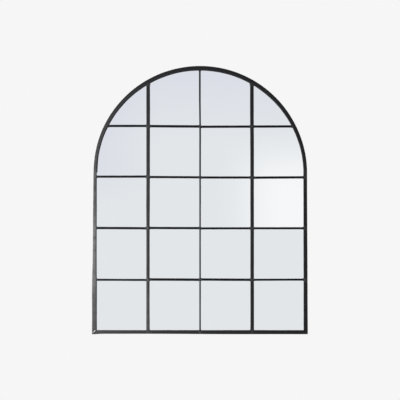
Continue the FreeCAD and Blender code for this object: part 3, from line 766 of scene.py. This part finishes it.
def bead(name, start, stop, width, base, crest, material, seed):
    """A low weld run between two points on the front: rippled, tapered at its ends.
    base and crest are how deep its foot and top are from the wall."""
    a, b = Vector(start), Vector(stop)
    along = (b - a).normalized()
    across = Vector((-along.y, along.x))
    length = (b - a).length
    n, ring = max(10, int(length / 0.55)), 9
    verts, faces = [], []
    for k in range(n + 1):
        s = length * k / n
        taper = math.sqrt(max(0.0, 1 - (2 * k / n - 1) ** 6)) * 0.92 + 0.08
        ripple = 1 + 0.10 * math.sin(s * 2 * math.pi / 1.7 + seed) + 0.10 * wave(seed, s, 2.4)
        for j in range(ring):
            t = math.pi * j / (ring - 1)
            w = width / 2 * taper * ripple * math.cos(t)
            p = a + along * (s + 0.35 * math.sin(t)) + across * w
            lift = base + (crest - base) * math.sin(t) * taper * min(1.0, ripple)
            verts.append((p.x, -min(lift, DEPTH), p.y - HANG))
    for k in range(n):
        for j in range(ring - 1):
            q = k * ring + j
            faces.append((q, q + 1, q + 1 + ring, q + ring))
        faces.append((k * ring + ring - 1, k * ring, (k + 1) * ring, (k + 2) * ring - 1))
    faces.append(tuple(range(ring)))
    faces.append(tuple(reversed(range(n * ring, (n + 1) * ring))))
    count = len(verts)
    obj = make_mesh(name, verts, faces, {"edge": [0.0] * count, "weld": [0.5] * count,
                                         "wear_and_sheen": [0.0] * count}, [material])
    orient(obj)
    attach(obj, "mirror")
    return obj


for side, label, foot, rise, finish in ((-1, "left", FOOT_LEFT, 5.0, FILED),
                                        (1, "right", FOOT_RIGHT, 1.5, PAINT)):
    bead("mitre_weld_%s_steel" % label, (side * (HALF + foot - 1.6), rise),
         (side * (HALF + foot - 13.6), rise + 11.8 * RAIL_FACE / (FACE + foot)), 3.4,
         DEPTH - 0.8, DEPTH, finish, 3.0 + side)
    bead("head_weld_%s_steel" % label, (side * (HALF - 0.9), JOINT),
         (side * (HALF - FACE + 0.9), JOINT), 2.4, DEPTH - 0.8, DEPTH, PAINT, 8.0 + side)


# ------------------------------------------------------------------ panes

def pane(row, col):
    """One pane of silvered float glass: cut edges seamed by 0.3 mm, painted back, a
    slightly greyed rim, and standing a hair out of true with its neighbours."""
    node = "pane_row%d_col%d" % (row, col)
    source = frame["nodes"][node].data
    front = min(v.co.y for v in source.vertices) * 1000
    back = max(v.co.y for v in source.vertices) * 1000
    seen = {}
    for v in source.vertices:
        x, z = v.co.x * 1000, v.co.z * 1000
        seen[(round(x, 2), round(z, 2))] = (x, z)
    pts = list(seen.values())
    cx = sum(p[0] for p in pts) / len(pts)
    cz = sum(p[1] for p in pts) / len(pts)
    mid_x = (min(p[0] for p in pts) + max(p[0] for p in pts)) / 2
    mid_z = (min(p[1] for p in pts) + max(p[1] for p in pts)) / 2
    pts.sort(key=lambda p: math.atan2(p[1] - cz, p[0] - cx))
    count = len(pts)
    turn_x = 0.0004 * math.sin(row * 4.1 + col * 2.3)
    turn_z = 0.0004 * math.sin(row * 2.7 + col * 5.9 + 1.0)
    if (row, col) in ((3, 4), (4, 4)):
        turn_z = 0.0

    def inset(d):
        out = []
        for i, (x, z) in enumerate(pts):
            p, q = Vector(pts[i - 1]), Vector(pts[(i + 1) % count])
            here = Vector((x, z))
            e, f = (here - p).normalized(), (q - here).normalized()
            ne, nf = Vector((-e.y, e.x)), Vector((-f.y, f.x))
            m = (ne + nf)
            m = m / max(0.2, m.length_squared) * 2
            out.append(here + m * d)
        return out
    rings = [(0.3, back, 1.0), (0.0, back - 0.3, 1.0), (0.0, front + 0.3, 1.0),
             (0.3, front, 1.0), (1.6, front, 0.45), (4.5, front, 0.0)]
    verts, rim = [], []
    for d, y, r in rings:
        for p in inset(d):
            slant = turn_x * (p.x - mid_x) + turn_z * (p.y - mid_z)
            verts.append((p.x, y + slant, p.y))
            rim.append(r)
    faces, slots = [], []
    for k in range(len(rings) - 1):
        for i in range(count):
            a, b = k * count + i, k * count + (i + 1) % count
            faces.append((a, b, b + count, a + count))
            slots.append(1 if k < 3 else 0)
    faces.append(tuple(range(count)))
    slots.append(2)
    last = (len(rings) - 1) * count
    faces.append(tuple(range(last, last + count)))
    slots.append(0)
    obj = make_mesh(node + "_glass", verts, faces, {"rim": rim}, [SILVER, EDGE, BACKING], slots)
    return finish_piece(obj, node)


for row in (1, 2, 3, 4, 5):
    for col in (1, 2, 3, 4):
        pane(row, col)


# ------------------------------------------------------------------ carried-over nodes

def cover(node, material):
    obj = frame["nodes"][node]
    obj.data.materials.clear()
    obj.data.materials.append(material)


cover("glazing_tapes", TAPE)
cover("back_board", BOARD)
cover("board_tabs", PAINT)
cover("board_screws", SCREW)
cover("hanger_screws", SCREW)
cover("hanger_strap_left", ZINC)
cover("hanger_strap_right", ZINC)
cover("hanger_ring_left", NICKEL)
cover("hanger_ring_right", NICKEL)


# ------------------------------------------------------------------ floor

def floor():
    radius, height = 1.55, -0.876 - 0.70
    verts = [(0.0, -0.25, height)]
    faces = []
    n = 96
    for k in range(n):
        a = 2 * math.pi * k / n
        verts.append((radius * math.cos(a), -0.25 + radius * math.sin(a), height))
    for k in range(n):
        faces.append((0, 1 + k, 1 + (k + 1) % n))
    mesh = bpy.data.meshes.new("studio_floor")
    mesh.from_pydata(verts, [], faces)
    m = bpy.data.materials.new("pale_floor")
    tree, nodes, links, shader = nodes_of(m)
    coord = nodes.new("ShaderNodeTexCoord").outputs["Object"]
    shift = nodes.new("ShaderNodeVectorMath")
    shift.operation = "SUBTRACT"
    shift.inputs[1].default_value = (0.0, -0.25, height)
    links.new(coord, shift.inputs[0])
    away = nodes.new("ShaderNodeVectorMath")
    away.operation = "LENGTH"
    links.new(shift.outputs[0], away.inputs[0])
    fade = span(nodes, links, away.outputs["Value"], 0.75, radius, 1.0, 0.0)
    shader.inputs["Base Color"].default_value = (0.84, 0.84, 0.83, 1.0)
    shader.inputs["Roughness"].default_value = 0.9
    links.new(fade, shader.inputs["Alpha"])
    mesh.materials.append(m)
    obj = bpy.data.objects.new("studio_floor", mesh)
    bpy.context.scene.collection.objects.link(obj)


floor()


# ------------------------------------------------------------------ soft studio light

def studio():
    world = bpy.data.worlds.new("studio")
    bpy.context.scene.world = world
    world.use_nodes = True
    tree = world.node_tree
    nodes, links = tree.nodes, tree.links
    back = nodes["Background"]
    coord = nodes.new("ShaderNodeTexCoord").outputs["Generated"]
    parts = nodes.new("ShaderNodeSeparateXYZ")
    links.new(coord, parts.inputs[0])
    x, y, z = parts.outputs

    def m(op, a, b=None, c=None):
        return math_node(nodes, links, op, a, b, c)

    def ramp(value, low, high, to_low=0.0, to_high=1.0):
        r = nodes.new("ShaderNodeMapRange")
        r.interpolation_type = "SMOOTHSTEP"
        r.inputs["From Min"].default_value = low
        r.inputs["From Max"].default_value = high
        r.inputs["To Min"].default_value = to_low
        r.inputs["To Max"].default_value = to_high
        links.new(value, r.inputs["Value"])
        return r.outputs["Result"]

    ahead = m("MULTIPLY", y, -1.0)
    safe = m("MAXIMUM", ahead, 0.02)
    az = m("DIVIDE", x, safe)
    el = m("DIVIDE", z, safe)
    front = ramp(ahead, 0.0, 0.05)

    # brightness by how far ahead: the lit end of the room, and darker sides
    room = ramp(ahead, 0.42, 0.94, 0.42, 0.922)
    rear = ramp(m("MULTIPLY", ahead, -1.0), 0.0, 0.8, 0.0, 0.35)
    room = m("ADD", room, rear)
    # a little darker towards the top of the room, more so to the left
    top = ramp(el, 0.11, 0.27, 0.0, 0.095)
    left = m("MULTIPLY", ramp(az, -0.05, -0.17, 0.0, 0.075), ramp(el, 0.03, 0.10))
    dim = m("MULTIPLY", m("ADD", top, left), front)
    # a soft glow right of the middle that stops at the horizon
    glow = m("MULTIPLY", ramp(az, 0.02, 0.125), ramp(el, 0.055, 0.155, 1.0, 0.0))
    glow = m("MULTIPLY", glow, ramp(el, -0.0015, 0.0015))
    glow = m("MULTIPLY", glow, ramp(az, 0.55, 0.30))
    glow = m("MULTIPLY", glow, front)
    # a tall soft window of light to the left
    tall = m("MULTIPLY", ramp(az, -0.30, -0.50), ramp(az, -1.15, -0.80))
    tall = m("MULTIPLY", tall, ramp(m("ABSOLUTE", el), 0.75, 0.35))
    tall = m("MULTIPLY", tall, front)

    def channel(dim_share, glow_gain, tall_gain):
        v = m("MULTIPLY", room, m("SUBTRACT", 1.0, m("MULTIPLY", dim, dim_share)))
        v = m("ADD", v, m("MULTIPLY", glow, glow_gain))
        return m("ADD", v, m("MULTIPLY", tall, tall_gain))
    mixed = nodes.new("ShaderNodeCombineColor")
    for i, gains in enumerate(((0.85, 0.190, 0.30), (1.00, 0.156, 0.30), (0.30, 0.140, 0.30))):
        links.new(channel(*gains), mixed.inputs[i])
    path = nodes.new("ShaderNodeLightPath")
    sky = mix_colour(nodes, links, path.outputs["Is Camera Ray"], mixed.outputs[0],
                     (0.922, 0.922, 0.922))
    links.new(sky, back.inputs["Color"])
    back.inputs["Strength"].default_value = 1.0


studio()


def paint_sides():
    """The sides of the frame and the thick uprights are duller than their fronts, so
    that they don't mirror a light that stands level with them. Their lighter base colour is
    painted sheen, standing in for that light."""
    for piece in list(bpy.data.objects):
        if piece.type != "MESH" or not piece.name.endswith("_steel"):
            continue
        mesh = piece.data
        if len(mesh.materials) != 1 or mesh.materials[0] != PAINT:
            continue
        mesh.materials.append(SIDE_PAINT_WITH_SHEEN)
        for face in mesh.polygons:
            if abs(face.normal.y) < 0.55:
                face.material_index = 1


paint_sides()


def paint_light():
    """A tall soft box to the left of the lens, and one level with each side and
    behind the frame. They shine on the painted steel only, so they give the satin
    paint its sheen and leave the glass clear."""
    lit = bpy.data.collections.new("painted_steel")
    for piece in list(bpy.data.objects):
        if piece.name.endswith("_steel"):
            lit.objects.link(piece)
    for name, size, energy, place, target in (
            ("soft_box", (0.55, 1.05), 68.0, (-0.98, -1.15, -0.60), (-0.3, 0.0, -0.55)),
            ("side_box_left", (0.5, 1.4), 60.0, (-2.0, 0.75, -0.2), (-0.4, 0.0, -0.4)),
            ("side_box_right", (0.5, 1.4), 60.0, (2.0, 0.75, -0.2), (0.4, 0.0, -0.4))):
        lamp = bpy.data.lights.new(name, "AREA")
        lamp.shape = "RECTANGLE"
        lamp.size, lamp.size_y = size
        lamp.energy = energy
        obj = bpy.data.objects.new(name, lamp)
        bpy.context.scene.collection.objects.link(obj)
        obj.location = place
        obj.rotation_euler = (Vector(target) - obj.location).to_track_quat("-Z", "Y").to_euler()
        obj.visible_camera = False
        obj.light_linking.receiver_collection = lit


paint_light()


# ------------------------------------------------------------------ camera

D = 2.5
AIM = 0.5019            # height above the bottom edge at the middle of the picture
EYE = 0.3985            # height of the lens above the bottom edge
scene = bpy.context.scene
scene.view_settings.view_transform = "Standard"
cam = bpy.data.cameras.new("camera")
eye = bpy.data.objects.new("camera", cam)
scene.collection.objects.link(eye)
pitch = math.radians(0.5)
eye.location = (0.0, -DEPTH * MM - D, EYE - HANG * MM)
eye.rotation_euler = (math.radians(90) + pitch, 0.0, 0.0)
cam.sensor_width = 36.0
cam.lens = 36.0 * (D / math.cos(pitch)) / 1.496
cam.shift_y = (AIM - EYE - D * math.tan(pitch)) / 1.496
cam.clip_start = 0.05
cam.clip_end = 50.0
scene.camera = eye
